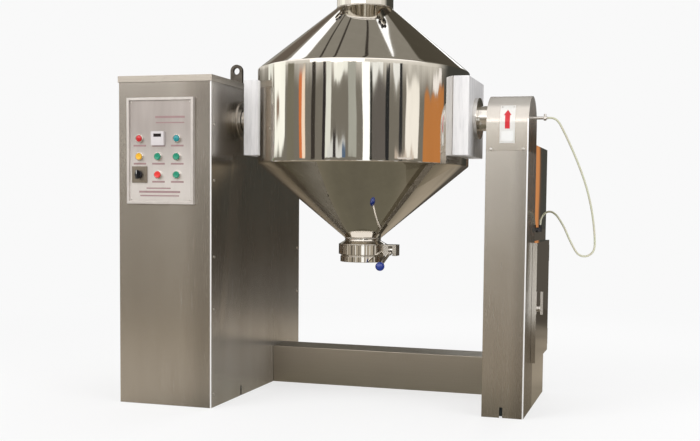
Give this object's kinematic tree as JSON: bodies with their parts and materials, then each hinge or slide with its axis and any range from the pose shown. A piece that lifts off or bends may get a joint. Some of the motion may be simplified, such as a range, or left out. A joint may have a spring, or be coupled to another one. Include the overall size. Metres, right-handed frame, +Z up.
{
  "type": "double cone mixer",
  "caption": "Powder mixer: a hollow drum of two cones on a level shaft turns between a drive cabinet with a control panel and a narrow column, with a lid on top and a flap valve below.",
  "frame": {"origin": "on the floor under the middle of the machine's outer box, measured without the air hose", "axes": "+X along the drum's shaft from the drive cabinet to the column, +Y to the back, +Z up"},
  "size_m": [1.6128, 0.901, 1.5352],
  "materials": {
    "brushed_sheet": "brushed stainless sheet, vertical grain",
    "mirror_drum": "mirror-polished stainless steel",
    "satin_steel": "fine-turned satin stainless steel",
    "screw_steel": "small stainless screw heads",
    "dark_frame": "dark grey primer",
    "cast_green": "painted cast iron",
    "reducer_blue": "blue machine enamel",
    "motor_grey": "grey machine enamel",
    "chain_steel": "oiled chain steel",
    "panel_white": "off-white satin powder coat",
    "panel_plate": "satin anodised plate",
    "bezel_chrome": "polished bezel rings",
    "meter_ivory": "ivory moulded case with dark window",
    "block_grey": "moulded contact blocks",
    "switch_brown": "grey-brown plate",
    "lamp_red": "translucent red lens",
    "lamp_teal": "translucent teal lens",
    "button_yellow": "yellow button",
    "button_green": "green button",
    "button_red": "red button",
    "black_plastic": "black moulded plastic",
    "sign_white": "white enamel plate with a red arrow",
    "hose_pale": "pale flexible air tube",
    "seal_white": "food-grade white rubber",
    "ball_blue": "blue lever ball"
  },
  "bodies": {
    "frame": {"base_beam": "brushed_sheet", "cabinet_base": "dark_frame", "corner_posts": "dark_frame", "pedestals": "dark_frame", "cabinet_front_panel": "brushed_sheet", "cabinet_inner_panel": "brushed_sheet", "cabinet_outer_panel": "brushed_sheet", "cabinet_rear_panel": "brushed_sheet", "cabinet_lid": "brushed_sheet", "lifting_lug": "satin_steel", "panel_frame": "panel_white", "panel_plate": "panel_plate", "speed_meter": "meter_ivory", "lamp_red": "lamp_red", "lamp_teal": "lamp_teal", "control_bezels": "bezel_chrome", "contact_blocks": "block_grey", "switch_plate": "switch_brown", "cover_screws": "screw_steel", "gear_reducer": "reducer_blue", "drive_motor": "motor_grey", "bearing_blocks": "cast_green", "drive_chain": "chain_steel", "column_shell": "brushed_sheet", "column_cap": "brushed_sheet", "direction_plate": "sign_white", "rear_compartment": "brushed_sheet", "air_pipe": "satin_steel", "hose_gland": "satin_steel", "air_hose": "hose_pale"},
    "drum": {"drum_band": "mirror_drum", "upper_cone": "mirror_drum", "lower_cone": "mirror_drum", "saddles": "brushed_sheet", "trunnion_left": "satin_steel", "trunnion_right": "satin_steel", "bearing_rings": "satin_steel", "charging_collar": "satin_steel", "lid_gasket": "seal_white", "discharge_neck": "satin_steel", "valve_body": "satin_steel", "valve_seat": "seal_white", "outlet_ferrule": "satin_steel", "lever_guard": "satin_steel", "driven_sprocket": "chain_steel"},
    "lid": {"charging_lid": "mirror_drum"},
    "knob_left": {"lid_knob_left": "black_plastic"},
    "knob_right": {"lid_knob_right": "black_plastic"},
    "valve": {"valve_disc": "satin_steel", "valve_lever": "satin_steel", "lever_ball": "ball_blue"},
    "drive_shaft": {"drive_sprocket": "chain_steel"},
    "door": {"compartment_door": "brushed_sheet"},
    "handle": {"door_handle": "bezel_chrome"},
    "yellow": {"button_yellow": "button_yellow"},
    "green_middle": {"button_green_middle": "button_green"},
    "green_upper": {"button_green_upper": "button_green"},
    "green_lower": {"button_green_lower": "button_green"},
    "red": {"button_red": "button_red"},
    "switch": {"switch_knob": "black_plastic"}
  },
  "joints": [
    {"name": "drum_turn", "type": "hinge", "parent": "frame", "child": "drum", "pos_m": [0.083, -0.0825, 1], "axis": [1, 0, 0], "continuous": true},
    {"name": "drive_turn", "type": "hinge", "parent": "frame", "child": "drive_shaft", "pos_m": [-0.517, 0.0675, 0.3], "axis": [1, 0, 0], "continuous": true},
    {"name": "lid_swing", "type": "hinge", "parent": "drum", "child": "lid", "pos_m": [0.083, 0.0545, 1.4572], "axis": [-1, 0, 0], "range_deg": [0, 105]},
    {"name": "knob_left_turn", "type": "hinge", "parent": "lid", "child": "knob_left", "pos_m": [-0.03565, -0.151, 1.4542], "axis": [0, 0, 1], "continuous": true},
    {"name": "knob_right_turn", "type": "hinge", "parent": "lid", "child": "knob_right", "pos_m": [0.20165, -0.151, 1.4542], "axis": [0, 0, 1], "continuous": true},
    {"name": "valve_turn", "type": "hinge", "parent": "drum", "child": "valve", "pos_m": [0.083, -0.0825, 0.5455], "axis": [1, 0, 0], "range_deg": [0, 90]},
    {"name": "door_swing", "type": "hinge", "parent": "frame", "child": "door", "pos_m": [0.688, 0.307, 0.3], "axis": [0, 0, 1], "range_deg": [0, 110]},
    {"name": "handle_turn", "type": "hinge", "parent": "door", "child": "handle", "pos_m": [0.693, 0.032, 0.3476], "axis": [1, 0, 0], "range_deg": [0, 90]},
    {"name": "switch_turn", "type": "hinge", "parent": "frame", "child": "switch", "pos_m": [-0.637, -0.3505, 0.7965], "axis": [0, -1, 0], "range_deg": [-45, 45]},
    {"name": "yellow_press", "type": "slide", "parent": "frame", "child": "yellow", "axis": [0, 1, 0], "range_m": [0, 0.003], "stiffness_N_per_m": 600},
    {"name": "green_middle_press", "type": "slide", "parent": "frame", "child": "green_middle", "axis": [0, 1, 0], "range_m": [0, 0.003], "stiffness_N_per_m": 600},
    {"name": "green_upper_press", "type": "slide", "parent": "frame", "child": "green_upper", "axis": [0, 1, 0], "range_m": [0, 0.003], "stiffness_N_per_m": 600},
    {"name": "green_lower_press", "type": "slide", "parent": "frame", "child": "green_lower", "axis": [0, 1, 0], "range_m": [0, 0.003], "stiffness_N_per_m": 600},
    {"name": "red_press", "type": "slide", "parent": "frame", "child": "red", "axis": [0, 1, 0], "range_m": [0, 0.003], "stiffness_N_per_m": 600}
  ],
  "couplings": [
    {"joint": "drive_turn", "follows": "drum_turn", "ratio": 2}
  ]
}
